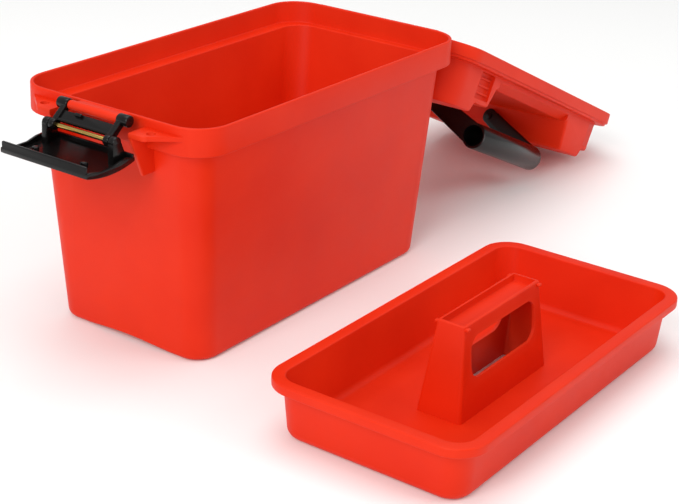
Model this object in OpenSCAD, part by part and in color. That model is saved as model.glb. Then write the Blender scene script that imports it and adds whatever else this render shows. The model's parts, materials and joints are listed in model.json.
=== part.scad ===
// Dry storage box for fishing tackle, with a folded-back lid, a bail handle,
// an over-centre latch and a lift-out tray that stands in front of the box.
// Millimetres. The origin is the middle of the box's base, on the floor.
// +X points to the hinge end, -Y to the long side that the tray stands at, +Z up.

/* [Box] */
// Length of the collar round the mouth
collar_l = 380; // [300:5:460]
// Width of the collar round the mouth
collar_w = 203; // [160:1:250]
// Corner radius of the collar
collar_r = 31.5; // [24:0.5:40]
// Height of the collar band
collar_h = 24; // [20:1:32]
// Height of the rim above the floor
box_h = 214.5; // [170:0.5:260]
// How far the tub stands back from the collar at each end
step_x = 7.2; // [5:0.1:10]
// How far the tub stands back from the collar at each side
step_y = 12; // [8:0.5:15]
// How much each end leans in from collar to floor
taper_x = 17.5; // [8:0.5:20]
// How much each side leans in from collar to floor
taper_y = 8.4; // [4:0.2:12]
// Corner radius of the tub at the floor
base_r = 27.5; // [18:0.5:36]
// Radius of the tub's bottom edge
base_edge = 5; // [3:0.5:8]
// Wall of the box
wall = 3; // [2.4:0.1:4]
// Rise of the hand scoop under each end
scoop_rise = 5; // [2:0.5:6]
// Width of the hand scoop
scoop_w = 110; // [80:5:130]

/* [Lid] */
// Gap between the collar and the lid's skirt
skirt_gap = 0.5; // [0.3:0.1:1]
// Wall of the lid
lid_wall = 2.2; // [2:0.1:3]
// Height of the skirt
skirt_h = 12; // [10:0.5:16]
// How far the skirt reaches below the rim
skirt_drop = 7; // [5:0.5:9]
// Height of the two end blocks above the skirt's lower edge
block_h = 58; // [50:1:70]
// Height of the low shoulder beside each block
shoulder_h = 48; // [46:1:49]
// Height of the valley floor between the blocks
valley_h = 26.5; // [22:0.5:27]
// Length of the valley
valley_l = 185; // [140:5:200]
// Length of each low shoulder
shoulder_l = 38; // [26:1:44]
// How far the raised top stands back from the skirt
crown_in = 8; // [7:0.5:14]
// Diameter of the round seal
seal_d = 3.6; // [3:0.1:4.4]
// How far the lid is folded back
lid_open = 204.7; // [185:0.1:204.7]

/* [Hinge] */
// Radius of the hinge knuckles
knuckle_r = 5.2; // [4.8:0.1:6]
// Distance from the collar's face to the hinge axis
hinge_out = 4.7; // [4.2:0.1:5.5]
// Overall length of the hinge
hinge_l = 138; // [100:2:138]
// Diameter of the hinge pin
hinge_pin_d = 4; // [3:0.5:5]

/* [Carry handle] */
// Distance from the pivot to the middle of the grip
handle_reach = 78; // [66:0.5:78]
// Radius of the grip
grip_r = 13.5; // [11:0.5:14]
// Length of the grip
grip_l = 140; // [110:2:150]
// Height of the handle's pivot above the skirt's lower edge
handle_pivot_h = 41.5; // [41.5:0.5:43]
// Radius of the handle's stub pins
stub_r = 3.5; // [3:0.1:4]
// How far the handle leans from upright
handle_lean = 63.8; // [0:0.1:85]

/* [Latch] */
// Distance from the collar's face to the latch barrel's axis
barrel_out = 11.5; // [11:0.5:13]
// Distance of the latch barrel's axis below the rim
barrel_drop = 1.5; // [1:0.5:2.5]
// Radius of the latch barrel
barrel_r = 4; // [3.6:0.1:4.4]
// Length of the latch barrel
barrel_l = 52; // [44:1:60]
// Distance between the link's two pivots
link_l = 20.4; // [19:0.1:22]
// Swing of the link from closed to open
link_open = 50; // [40:1:50]
// Width of the latch lever
lever_w = 93; // [90:1:100]
// Length of the latch lever from its pivot to its lip
lever_reach = 42; // [40:0.5:44]
// Height of the lever's lip
lip_h = 10; // [8:0.5:12]
// Wall of the lever
lever_wall = 2.5; // [2:0.1:3]
// Diameter of the steel pin through the barrel
barrel_pin_d = 3; // [2.5:0.1:3.6]
// Diameter of the brass rod that the lever turns on
lever_rod_d = 4; // [3:0.1:4.4]
// Radius of the padlock holes
padlock_r = 4; // [3:0.5:5]
// Distance between the two padlock holes
padlock_span = 114; // [108:1:120]

/* [Tray] */
// Gap between the tray's rim and the inside of the collar
tray_gap = 5; // [2:0.5:7]
// Height of the tray
tray_h = 52; // [40:1:60]
// Wall of the tray
tray_wall = 2.4; // [2:0.1:3]
// Depth of the tray's turned-down rim
tray_lip = 8; // [5:0.5:12]
// Width of the tray's turned-down rim
tray_lip_w = 8.5; // [7:0.5:10]
// How much each side of the tray leans in
tray_taper = 4; // [2:0.5:8]
// Overall height of the tray's handle
grab_h = 81; // [74:1:81]
// Length of the tray's handle at the floor
grab_l = 138; // [120:2:160]
// Width of the tray's handle at the floor
grab_w = 42; // [36:1:50]
// Gap between the box and the tray that stands beside it
tray_stand_gap = 86; // [60:1:150]
// How far the tray stands towards the latch end
tray_stand_x = 46; // [0:1:80]

/* [Hidden] */
red = "#DE371E";
black = "#1B1B1C";
eps = 0.01;
run = 0.05;          // radial running clearance of a pin in its hole
free = 0.6;          // clearance between pieces that swing past each other
$fn = 64;
fn_hull = 32;        // facets of a circle inside a hull

tub_top = box_h - collar_h;
tub_l = collar_l - 2 * step_x;
tub_w = collar_w - 2 * step_y;
tub_r = collar_r - 4;
ledge_z = tub_top + wall;

skirt_l = collar_l + 2 * (skirt_gap + lid_wall);
skirt_w = collar_w + 2 * (skirt_gap + lid_wall);
skirt_r = collar_r + skirt_gap + lid_wall;
seat_z = box_h - skirt_drop;          // the skirt's lower edge when the lid is shut
deck_h = skirt_h + 2.6;
crown_l = skirt_l - 2 * crown_in;
crown_w = skirt_w - 2 * (crown_in + 4);
crown_r = 30;
crown_lean = 2.6;                     // how much the crown leans in at its top
crown_wall = 2.6;
crown_round = 5;
valley_edge_h = 17;                   // height of the valley's floor at its open sides
block_l = (crown_l - valley_l) / 2;
shoulder_ramp = 5;

hinge_x = collar_l / 2 + hinge_out;
hinge_z = seat_z;
knuckles = 5;
knuckle_gap = 0.5;
knuckle_l = (hinge_l - (knuckles - 1) * knuckle_gap) / knuckles;

flange_t = 4;
flange_z = seat_z - 0.5 - flange_t;
flange_out = 19;
pocket_w = 84;                        // clear width between the two latch gussets
gusset_t = 3;
tab_l = 43;                           // how far each padlock tab runs along the end

barrel_x = -(collar_l / 2 + barrel_out);
barrel_z = box_h - barrel_drop;
eye_r = 4.9;
eye_l = 11;
arm_t = 5.5;
arm_w = 6;
rod_x = barrel_x - link_l * sin(link_open);
rod_z = barrel_z - link_l * cos(link_open);
ear_t = 6;
ear_r = 4.6;

tray_l = collar_l - 2 * (wall + tray_gap + 0.5);
tray_w = collar_w - 2 * (wall + tray_gap);
tray_r = collar_r - wall - 1;
tray_x = -tray_stand_x;
tray_y = -(collar_w / 2 + tray_stand_gap + tray_w / 2);
grab_top_l = 118;
grab_top_w = 25;
grab_wall = 2.4;
trough = 6;
finger_l = 100;
finger_low = 33;
finger_high = 69;

// A rectangle with round corners, made of exact pieces.
module round_rect(l, w, r) {
    square([l - 2 * r, w], center = true);
    square([l, w - 2 * r], center = true);
    for (sx = [-1, 1], sy = [-1, 1])
        translate([sx * (l / 2 - r), sy * (w / 2 - r)]) circle(r);
}

module slab(l, w, r, h) {
    linear_extrude(h) round_rect(l, w, r);
}

// The four corners of a thin plate of the same outline, for use inside a hull.
module hull_plate(l, w, r, z) {
    for (sx = [-1, 1], sy = [-1, 1])
        translate([sx * (l / 2 - r), sy * (w / 2 - r), z]) cylinder(r = r, h = eps, $fn = fn_hull);
}

// A pin or a hole along Y, centred on y.
module y_rod(r, l, x, y, z) {
    translate([x, y + l / 2, z]) rotate([90, 0, 0]) cylinder(r = r, h = l);
}

// A plate that lies in an XZ plane, centred on y.
module y_plate(points, t, y) {
    translate([0, y + t / 2, 0]) rotate([90, 0, 0]) linear_extrude(t) polygon(points);
}

// Length, width and corner radius of the tub at height z, less an inset.
function tub_x(z, in) = tub_l - 2 * taper_x * (1 - z / tub_top) - 2 * in;
function tub_y(z, in) = tub_w - 2 * taper_y * (1 - z / tub_top) - 2 * in;
function tub_rad(z, in) = base_r + (tub_r - base_r) * z / tub_top - in;

// The solid that the tub's wall bounds, inset from the outside.
module tub_solid(in, bottom, top) {
    hull() {
        hull_plate(tub_x(bottom, in + base_edge), tub_y(bottom, in + base_edge),
                   tub_rad(bottom, in + base_edge), bottom);
        hull_plate(tub_x(bottom, in + base_edge * 0.3), tub_y(bottom, in + base_edge * 0.3),
                   tub_rad(bottom, in + base_edge * 0.3), bottom + base_edge * 0.3);
        hull_plate(tub_x(bottom + base_edge, in), tub_y(bottom + base_edge, in),
                   tub_rad(bottom + base_edge, in), bottom + base_edge);
        hull_plate(tub_x(top, in), tub_y(top, in), tub_rad(top, in), top);
    }
}

// The shallow arch under each end, which fades out along the base.
module scoops(grow) {
    r = (pow(scoop_w / 2, 2) + pow(scoop_rise, 2)) / (2 * scoop_rise);
    a = asin(scoop_w / 2 / r);
    steps = 12;
    run_in = 45;
    for (s = [-1, 1])
        translate([s * tub_x(0, 0) / 2, 0, scoop_rise + grow])
            rotate([90, 0, 90 * s])
                rotate([-atan(scoop_rise / run_in), 0, 0]) translate([0, 0, -run_in * 1.2])
                    linear_extrude(run_in * 1.2 + 20)
                        polygon(concat([[scoop_w / 2 + 6, -scoop_rise - 8], [-scoop_w / 2 - 6, -scoop_rise - 8],
                                        [-scoop_w / 2 - 6, -scoop_rise]],
                                       [for (k = [0 : steps]) let (t = a * (2 * k / steps - 1))
                                            [r * sin(t), r * cos(t) - r]],
                                       [[scoop_w / 2 + 6, -scoop_rise]]));
}

// Where knuckle k starts along Y; the box has the even ones and the lid the odd ones.
function knuckle_y(k) = -hinge_l / 2 + k * (knuckle_l + knuckle_gap);

module knuckles_of(first) {
    for (k = [first : 2 : knuckles - 1])
        y_rod(knuckle_r, knuckle_l, hinge_x, knuckle_y(k) + knuckle_l / 2, hinge_z);
}

// Room for the other piece's knuckles, cut from a wall that starts at x.
module knuckle_notches(first, x) {
    for (k = [first : 2 : knuckles - 1])
        translate([x, knuckle_y(k) - free / 2, hinge_z - knuckle_r - free])
            cube([30, knuckle_l + free, 2 * (knuckle_r + free)]);
}

// The outline of one padlock tab, with its round outer corner, outside a collar grown by g.
module tab_outline(g) {
    out = collar_l / 2 + flange_out;
    y0 = pocket_w / 2;
    difference() {
        union() {
            polygon([[-(collar_l / 2 - 12), y0], [-(out - 7), y0], [-(out - 7), y0 + 15],
                     [-(collar_l / 2 - 4), y0 + tab_l], [-(collar_l / 2 - 12), y0 + tab_l]]);
            translate([-(out - 6), y0 + 12]) circle(6);
            translate([-out, y0]) square([14, 12]);
        }
        round_rect(collar_l + 2 * g, collar_w + 2 * g, collar_r + g);
        translate([-(collar_l / 2 + 9), padlock_span / 2]) circle(padlock_r);
    }
}

// The web under the padlock tab, which runs down the collar to the tub's end wall.
module gusset() {
    face = collar_l / 2;
    low = flange_z - 35;
    y_plate([[-(face - wall / 2), flange_z + 1], [-(face + flange_out - 1), flange_z + 1],
             [-(face + flange_out - 1), flange_z - 2], [-(tub_x(low, 0) / 2 + 14), low],
             [-(tub_x(low, wall / 2) / 2), low], [-(tub_x(tub_top, wall / 2) / 2), tub_top + wall / 2],
             [-(face - wall / 2), tub_top + wall / 2]],
            gusset_t, pocket_w / 2 + gusset_t / 2);
}

module box_body() {
    color(red) difference() {
        union() {
            difference() {
                union() {
                    tub_solid(0, 0, tub_top + 1);
                    translate([0, 0, tub_top]) slab(collar_l, collar_w, collar_r, collar_h);
                }
                difference() {
                    tub_solid(wall, wall, ledge_z + 1);
                    scoops(wall);
                }
                translate([0, 0, ledge_z])
                    slab(collar_l - 2 * wall, collar_w - 2 * wall, collar_r - wall, collar_h);
                knuckle_notches(1, hinge_x - knuckle_r - free);
            }
            knuckles_of(0);
            for (s = [0, 1]) mirror([0, s, 0]) {
                translate([0, 0, flange_z])
                    linear_extrude(flange_t) tab_outline(-wall / 2);
                gusset();
            }
            y_rod(barrel_r, barrel_l, barrel_x, 0, barrel_z);
            translate([barrel_x, -barrel_l / 2, barrel_z - 2.2])
                cube([barrel_out + 1.5, barrel_l, 3.2]);
        }
        scoops(0);
        y_rod(hinge_pin_d / 2, hinge_l + 2, hinge_x, 0, hinge_z);
        y_rod(barrel_pin_d / 2 + run, barrel_l + 2, barrel_x, 0, barrel_z);
    }
}

// The side view of the lid's raised top, from hinge end to latch end, less a wall.
module crown_profile(t) {
    h = crown_l / 2 + 2;
    v = valley_l / 2 + t;
    a = crown_l / 2 - block_l + shoulder_l;      // where the hinge-end block's full height starts
    b = -(crown_l / 2 - shoulder_l);             // where the latch-end block's full height ends
    polygon([[h, 0], [h, block_h - t], [a + t, block_h - t], [a - shoulder_ramp + t, shoulder_h - t],
             [v + 3, shoulder_h - t], [v - 4, valley_h - t],
             [-(v - 4), valley_h - t], [-(v + 3), block_h - t],
             [b + t, block_h - t], [b - shoulder_ramp + t, shoulder_h - t],
             [-h, shoulder_h - t], [-h, 0]]);
}

// The raised top as a solid, inset by t all over.
module crown(t) {
    intersection() {
        hull() {
            hull_plate(crown_l - 2 * t, crown_w - 2 * t, crown_r - t, skirt_h - 6);
            hull_plate(crown_l - 2 * (t + crown_lean), crown_w - 2 * (t + crown_lean),
                       crown_r - t - crown_lean, block_h - crown_round - t);
            hull_plate(crown_l - 2 * (t + crown_lean + 1.5), crown_w - 2 * (t + crown_lean + 1.5),
                       crown_r - t - crown_lean - 1.5, block_h - 1.5 - t);
            hull_plate(crown_l - 2 * (t + crown_lean + crown_round), crown_w - 2 * (t + crown_lean + crown_round),
                       crown_r - t - crown_lean - crown_round, block_h - t - eps);
        }
        translate([0, crown_w, 0]) rotate([90, 0, 0]) linear_extrude(2 * crown_w) crown_profile(t);
        crown_cross_section(t);
    }
}

// The valley's long edges slope down to the deck; the blocks at each end stand clear of the slope.
module crown_cross_section(t) {
    w = crown_w / 2 + 1;
    slope = valley_h - valley_edge_h;
    translate([-crown_l / 2 - 1, 0, 0]) rotate([90, 0, 90]) linear_extrude(crown_l + 2)
        polygon([[-w, 0], [w, 0], [w, valley_edge_h - t], [w - slope * 1.1, valley_h - t],
                 [-(w - slope * 1.1), valley_h - t], [-w, valley_edge_h - t]]);
    for (s = [-1, 1])
        translate([s > 0 ? valley_l / 2 - 4 + t : -crown_l / 2 - 1, -w, 0])
            cube([crown_l / 2 - valley_l / 2 + 5 - t, 2 * w, block_h + 1]);
}

// The finger pocket in each side of both blocks.
module side_pockets(grow) {
    depth = 5;
    low = 16;
    high = shoulder_h - 5;
    l = shoulder_l - 9;
    for (x = [valley_l / 2 + 8, -(crown_l / 2 - 9)], s = [-1, 1])
        translate([x - grow, s * crown_w / 2 - depth - grow, low - grow])
            cube([l + 2 * grow, 2 * (depth + grow), high - low + 2 * grow]);
}

// Three thin ribs across each pocket, where the crown's side is straight.
module pocket_ribs() {
    l = shoulder_l - 9;
    for (s = [-1, 1], z = [22, 29, 36])
        translate([valley_l / 2 + 7, s * (crown_w / 2 - 5.2) - 2, z])
            cube([l + 2, 4, 1.6]);
}

// The lid as it lies shut, in the box's frame.
module lid_shut() {
    difference() {
        union() {
            difference() {
                union() {
                    translate([0, 0, seat_z]) slab(skirt_l, skirt_w, skirt_r, skirt_h);
                    translate([0, 0, seat_z + skirt_h - eps])
                        slab(skirt_l - 5, skirt_w - 5, skirt_r - 2.5, deck_h - skirt_h + eps);
                    difference() {
                        translate([0, 0, seat_z]) crown(0);
                        translate([0, 0, seat_z]) side_pockets(0);
                    }
                    translate([0, 0, seat_z]) pocket_ribs();
                }
                lid_hollow();
                // notch round the latch barrel's web
                translate([-skirt_l / 2 - 1, -barrel_l / 2 - 1.5, seat_z - 1])
                    cube([12, barrel_l + 3, skirt_drop + 2]);
                knuckle_notches(0, hinge_x - knuckle_r - free);
            }
            knuckles_of(1);
            for (s = [0, 1]) mirror([0, s, 0])
                translate([0, 0, seat_z])
                    linear_extrude(flange_t) tab_outline(skirt_gap + lid_wall / 2);
            catch_shelf();
            handle_bosses();
        }
        y_rod(hinge_pin_d / 2 + run, hinge_l + 2, hinge_x, 0, hinge_z);
        translate([-valley_l / 2 - 14, 0, seat_z + handle_pivot_h]) rotate([0, 90, 0])
            cylinder(r = stub_r + run, h = valley_l + 28);
    }
}

// What is taken out of the lid from below: the collar's space, the seal groove and the crown.
module lid_hollow() {
    seal_mid = collar_l - wall;
    seal_mid_w = collar_w - wall;
    seal_top = skirt_drop + 0.3 + seal_d + 0.05;
    translate([0, 0, seat_z - 1])
        slab(collar_l + 2 * skirt_gap, collar_w + 2 * skirt_gap, collar_r + skirt_gap, skirt_drop + 2);
    difference() {
        translate([0, 0, seat_z])
            slab(seal_mid + seal_d + 0.4, seal_mid_w + seal_d + 0.4, collar_r - wall / 2 + seal_d / 2 + 0.2, seal_top);
        translate([0, 0, seat_z - 1])
            slab(seal_mid - seal_d - 0.4, seal_mid_w - seal_d - 0.4, collar_r - wall / 2 - seal_d / 2 - 0.2, seal_top + 2);
    }
    difference() {
        translate([0, 0, seat_z]) crown(crown_wall);
        translate([0, 0, seat_z]) side_pockets(crown_wall);
    }
}

// The shelf on the latch end that the lever's lip hooks over, on four ribs.
module catch_shelf() {
    top = seat_z + 23.5;
    out = collar_l / 2 + 17;
    in = crown_l / 2 - 3;
    translate([-out, -41, top - 3]) cube([out - in, 82, 3]);
    for (y = [-39.75, -13, 13, 39.75])
        y_plate([[-in, top - 1], [-(out - 1), top - 1], [-(out - 1), top - 5],
                 [-(skirt_l / 2 - 1), seat_z + skirt_h + 1], [-in, seat_z + skirt_h + 1]], 2.5, y);
}

// The round bosses in the valley's end walls that the handle's stubs turn in.
module handle_bosses() {
    for (s = [-1, 1])
        translate([s * (valley_l / 2 + 8), 0, seat_z + handle_pivot_h]) rotate([0, 90, 0])
            cylinder(r = stub_r + 2.2, h = 12, center = true);
}

// Turns a child from the shut lid's place to where the lid lies folded back.
module folded_back() {
    translate([hinge_x, 0, hinge_z]) rotate([0, lid_open, 0])
        translate([-hinge_x, 0, -hinge_z]) children();
}

module lid() {
    color(red) folded_back() lid_shut();
}

// A round cord bent to a rectangle with round corners.
module cord_ring(l, w, r, d) {
    for (s = [-1, 1]) {
        translate([s * l / 2, 0, 0]) rotate([90, 0, 0]) cylinder(d = d, h = w - 2 * r, center = true);
        translate([0, s * w / 2, 0]) rotate([0, 90, 0]) cylinder(d = d, h = l - 2 * r, center = true);
    }
    for (k = [0 : 3])
        translate([(k == 0 || k == 3 ? 1 : -1) * (l / 2 - r), (k < 2 ? 1 : -1) * (w / 2 - r), 0])
            rotate([0, 0, 90 * k]) rotate_extrude(angle = 90) translate([r, 0]) circle(d = d);
}

module lid_seal() {
    color(black) folded_back()
        translate([0, 0, seat_z + skirt_drop + 0.3 + seal_d / 2])
            cord_ring(collar_l - wall, collar_w - wall, collar_r - wall / 2, seal_d);
}

module lid_hinge_pin() {
    color("silver") y_rod(hinge_pin_d / 2, hinge_l, hinge_x, 0, hinge_z);
}

// One arm of the bail, from its pivot to the end of the grip.
module bail_arm() {
    arm_x = valley_l / 2 - 8.5;
    hull() {
        translate([arm_x, 0, 0]) rotate([0, 90, 0]) cylinder(r = 9, h = 4, $fn = fn_hull);
        translate([arm_x - 4, 0, handle_reach * 0.45]) rotate([0, 90, 0]) cylinder(r = 9.5, h = 4, $fn = fn_hull);
    }
    hull() {
        translate([arm_x - 4, 0, handle_reach * 0.45]) rotate([0, 90, 0]) cylinder(r = 9.5, h = 4, $fn = fn_hull);
        translate([grip_l / 2 - 4, 0, handle_reach]) rotate([0, 90, 0])
            cylinder(r = grip_r, h = 4, $fn = fn_hull);
    }
    translate([arm_x, 0, 0]) rotate([0, 90, 0]) cylinder(r = stub_r, h = 16);
}

// The handle upright, with its pivot axis on X.
module bail() {
    for (s = [0, 1]) mirror([s, 0, 0]) bail_arm();
    difference() {
        translate([-grip_l / 2, 0, handle_reach]) rotate([0, 90, 0]) cylinder(r = grip_r, h = grip_l);
        translate([-grip_l / 2 - 1, 0, handle_reach]) rotate([0, 90, 0]) cylinder(r = grip_r - 2.6, h = grip_l + 2);
        translate([-grip_l / 2 + 5, -5, handle_reach - grip_r - 1]) cube([grip_l - 10, 10, grip_r]);
    }
}

module carry_handle() {
    color(black) folded_back()
        translate([0, 0, seat_z + handle_pivot_h]) rotate([handle_lean, 0, 0]) bail();
}

// The link hanging straight down from the barrel, with its upper pivot at the origin.
module link_down() {
    difference() {
        union() {
            for (s = [-1, 1]) {
                y_rod(eye_r, eye_l, 0, s * (barrel_l / 2 + free + eye_l / 2), 0);
                y_rod(ear_r, arm_t, 0, s * (barrel_l / 2 + free + arm_t / 2), -link_l);
                translate([-arm_w / 2, s * (barrel_l / 2 + free + arm_t / 2) - arm_t / 2, -link_l])
                    cube([arm_w, arm_t, link_l]);
            }
            translate([-1.3, -barrel_l / 2 - 2, -link_l + 4.6])
                cube([2.6, barrel_l + 4, 9.4]);
            translate([-2.4, -barrel_l / 2 - 2, -link_l + 3.4])
                cube([3.7, barrel_l + 4, 2.2]);
            translate([-3.6, 6, -link_l + 11]) cube([3, 7, 2.4]);
        }
        y_rod(barrel_pin_d / 2, barrel_l + 40, 0, 0, 0);
        y_rod(lever_rod_d / 2, barrel_l + 40, 0, 0, -link_l);
    }
}

module latch_link() {
    color(black) translate([barrel_x, 0, barrel_z]) rotate([0, link_open, 0]) link_down();
}

// The side view of the lever's shell, open, with its pivot at the origin.
module lever_section(t) {
    low = 17;
    mid = 20;
    inner = 11.5;
    difference() {
        intersection() {
            translate([-lever_reach + t, -mid + t]) square([lever_reach + inner - 2 * t, 40]);
            translate([-17, 95 - mid]) circle(r = 95 - t, $fn = 180);
        }
        translate([-lever_reach - 5, -low + lip_h * 0.45 + (t > 0 ? 30 : 0)])
            square([lever_reach + inner + 10, 60]);
    }
}

module latch_lever() {
    low = 17;
    inner = 11.5;
    ear_y = barrel_l / 2 + free + arm_t + 0.5 + ear_t / 2;
    color(black) translate([rod_x, 0, rod_z]) difference() {
        union() {
            difference() {
                translate([0, lever_w / 2, 0]) rotate([90, 0, 0]) linear_extrude(lever_w) lever_section(0);
                translate([0, lever_w / 2 - lever_wall, 0]) rotate([90, 0, 0])
                    linear_extrude(lever_w - 2 * lever_wall) lever_section(lever_wall);
            }
            translate([-lever_reach, -lever_w / 2 + 1.5, -low]) cube([lever_wall, lever_w - 3, lip_h]);
            for (s = [-1, 1])
                y_plate([[-5, -19], [-4.6, 0], [4.6, 0], [8, -8], [inner - 1, -15], [inner - 1, -16]], ear_t, s * ear_y);
            for (s = [-1, 1]) y_rod(ear_r, ear_t, 0, s * ear_y, 0);
            translate([inner - lever_wall, -lever_w / 2 + 1, -16]) cube([lever_wall, lever_w - 2, 6]);
            for (y = [-26, 26]) translate([-24, y, -18.5]) cylinder(r = 3, h = 6);
        }
        y_rod(lever_rod_d / 2 + run, lever_w + 10, 0, 0, 0);
    }
}

module latch_barrel_pin() {
    color("silver") y_rod(barrel_pin_d / 2, barrel_l + 2 * (free + eye_l) - 1, barrel_x, 0, barrel_z);
}

module latch_lever_rod() {
    color("goldenrod") y_rod(lever_rod_d / 2, barrel_l + 2 * (free + arm_t + 0.5 + ear_t) - 1, rod_x, 0, rod_z);
}

// The tray's wall as a solid, inset by t.
module tray_solid(t, bottom, top) {
    l = tray_l - 2 * tray_lip_w;
    w = tray_w - 2 * tray_lip_w;
    r = tray_r - tray_lip_w + 2;
    lean = tray_taper * (1 - top / tray_h);
    hull() {
        hull_plate(l - 2 * (tray_taper + t + 4), w - 2 * (tray_taper + t + 4), r - t - 5, bottom);
        hull_plate(l - 2 * (tray_taper + t + 1.2), w - 2 * (tray_taper + t + 1.2), r - t - 2.2, bottom + 1.2);
        hull_plate(l - 2 * (tray_taper + t), w - 2 * (tray_taper + t), r - t - 1, bottom + 4);
        hull_plate(l - 2 * (lean + t), w - 2 * (lean + t), r - t, top - eps);
    }
}

// The handle that stands in the tray, as a solid, inset by t.
module grab_solid(t, low, high) {
    hull() {
        translate([0, 0, low]) linear_extrude(eps) square([grab_l - 2 * t, grab_w - 2 * t], center = true);
        translate([0, 0, high - eps]) linear_extrude(eps)
            square([grab_top_l - 2 * t, grab_top_w - 2 * t], center = true);
    }
}

// The finger opening through both sides of the tray's handle.
module finger_opening() {
    r = 12;
    translate([0, grab_w, 0]) rotate([90, 0, 0]) linear_extrude(2 * grab_w)
        translate([0, (finger_low + finger_high) / 2]) round_rect(finger_l, finger_high - finger_low, r);
}

module lift_out_tray() {
    color(red) translate([tray_x, tray_y, 0]) {
        difference() {
            union() {
                difference() {
                    union() {
                        tray_solid(0, 0, tray_h);
                        translate([0, 0, tray_h - tray_lip]) slab(tray_l, tray_w, tray_r, tray_lip);
                    }
                    translate([0, 0, tray_h - tray_lip - 1]) difference() {
                        slab(tray_l - 2 * tray_wall, tray_w - 2 * tray_wall, tray_r - tray_wall,
                             tray_lip - tray_wall + 1);
                        translate([0, 0, -1]) slab(tray_l - 2 * tray_lip_w, tray_w - 2 * tray_lip_w,
                                                   tray_r - tray_lip_w + 2, tray_lip + 2);
                    }
                    tray_solid(tray_wall, tray_wall, tray_h + 1);
                }
                grab_solid(0, 0, grab_h);
                grab_ears();
            }
            grab_solid(grab_wall, -1, grab_h - trough - grab_wall);
            translate([-grab_top_l / 2 + grab_wall, -grab_top_w / 2 + grab_wall, grab_h - trough])
                cube([grab_top_l - 2 * grab_wall, grab_top_w - 2 * grab_wall, trough + 1]);
            finger_opening();
        }
    }
}

// The four small ears at the top corners of the tray's handle.
module grab_ears() {
    for (sx = [-1, 1], sy = [-1, 1])
        translate([sx * (grab_top_l / 2 - 3) - 2, sy * (grab_top_w / 2 + 0.5) - 2.5, grab_h - 4]) cube([4, 5, 2.5]);
}

box_body();
lid();
lid_seal();
lid_hinge_pin();
carry_handle();
latch_link();
latch_lever();
latch_barrel_pin();
latch_lever_rod();
lift_out_tray();
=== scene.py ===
# %% [markdown]
# # A dry storage box for fishing tackle
# The object is a set of injection mouldings: a deep box, a lid folded back on its hinge, a bail
# handle, an over-centre latch and a loose tray. A moulding has walls of one thickness, sides that
# lean so that the mould lets go of it, and small round edges everywhere. Those three things are
# what this lesson models, because they are what the eye reads as moulded plastic.

# %% Open the frame
import json
import math

import bpy
from mathutils import Euler, Matrix, Vector


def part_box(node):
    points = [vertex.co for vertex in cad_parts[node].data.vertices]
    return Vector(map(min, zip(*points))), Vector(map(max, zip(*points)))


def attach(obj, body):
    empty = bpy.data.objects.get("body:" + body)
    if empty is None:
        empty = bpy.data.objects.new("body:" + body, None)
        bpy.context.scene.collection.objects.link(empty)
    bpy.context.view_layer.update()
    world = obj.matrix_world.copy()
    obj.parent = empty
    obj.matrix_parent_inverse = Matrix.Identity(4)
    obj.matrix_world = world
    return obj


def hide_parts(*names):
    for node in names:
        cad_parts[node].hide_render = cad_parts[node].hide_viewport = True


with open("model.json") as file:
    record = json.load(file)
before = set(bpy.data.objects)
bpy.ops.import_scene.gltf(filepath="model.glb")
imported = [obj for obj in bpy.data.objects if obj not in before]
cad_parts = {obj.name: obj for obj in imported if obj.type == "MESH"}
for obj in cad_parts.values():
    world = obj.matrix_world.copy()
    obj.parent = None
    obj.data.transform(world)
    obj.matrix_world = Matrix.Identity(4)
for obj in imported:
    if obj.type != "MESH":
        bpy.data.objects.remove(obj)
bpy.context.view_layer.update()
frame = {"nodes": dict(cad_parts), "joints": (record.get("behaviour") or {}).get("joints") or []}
joints = {joint["name"]: joint for joint in frame["joints"]}
print("nodes:", sorted(frame["nodes"]))

# %% [markdown]
# ## Sizes
# Everything is in millimetres here, and one constant turns it to Blender's metres. The overall
# sizes are read from the frame, so the mouldings always fill the same space as the working parts.
# The walls and steps are the ones that such a moulding has.

# %% Driving sizes
MM = 0.001


def size_of(node):
    low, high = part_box(node)
    return [(b - a) / MM for a, b in zip(low, high)]


collar_w = size_of("box_body")[1]
collar_l, collar_r, collar_h = 380, 31.5, 24
rim_z = 214.5
tub_top = rim_z - collar_h
tub_l, tub_w = collar_l - 14.4, collar_w - 24
base_l, base_w = tub_l - 35, tub_w - 16.8
wall = 3
skirt_gap = 0.5
skirt_l, skirt_w, skirt_r, skirt_h = collar_l + 5.4, collar_w + 5.4, collar_r + 2.7, 12
seat_z = rim_z - 7
deck_h = skirt_h + 2.6
block_h, shoulder_h, valley_h, valley_l, shoulder_l = 58, 48, 26.5, 185, 38
crown_l, crown_w, crown_r = skirt_l - 16, skirt_w - 24, 30
hinge_x, hinge_z = [v / MM for v in joints["lid_hinge"]["pos_m"][::2]]
barrel_x, barrel_z = [v / MM for v in joints["latch_link_pivot"]["pos_m"][::2]]
rod_x, rod_z = [v / MM for v in joints["latch_lever_pivot"]["pos_m"][::2]]
barrel_l, link_l, link_open = 52, 20.4, 50
lid_open, handle_lean, handle_pivot_h, handle_reach, grip_r, grip_l = 204.7, 63.8, 41.5, 78, 13.5, 140
padlock_span = 114
tray_low, tray_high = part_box("lift_out_tray")
tray_x, tray_y = [(a + b) / 2 / MM for a, b in zip(tray_low[:2], tray_high[:2])]
tray_l, tray_w, tray_r, tray_h, tray_lip = 363, size_of("lift_out_tray")[1], 27.5, 52, 8
print("collar", collar_l, round(collar_w, 1), "tray", tray_l, round(tray_w, 1))

# %% [markdown]
# ## A few helpers
# The work is the same again and again: draw an outline, pull it up or push it down, draw it in,
# cut one solid with another, and round the edges. Each of these gets a short function round one
# or two of Blender's own operators. A new primitive comes in selected, and so do the frame's
# parts, so every function starts by letting go of everything.


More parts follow.
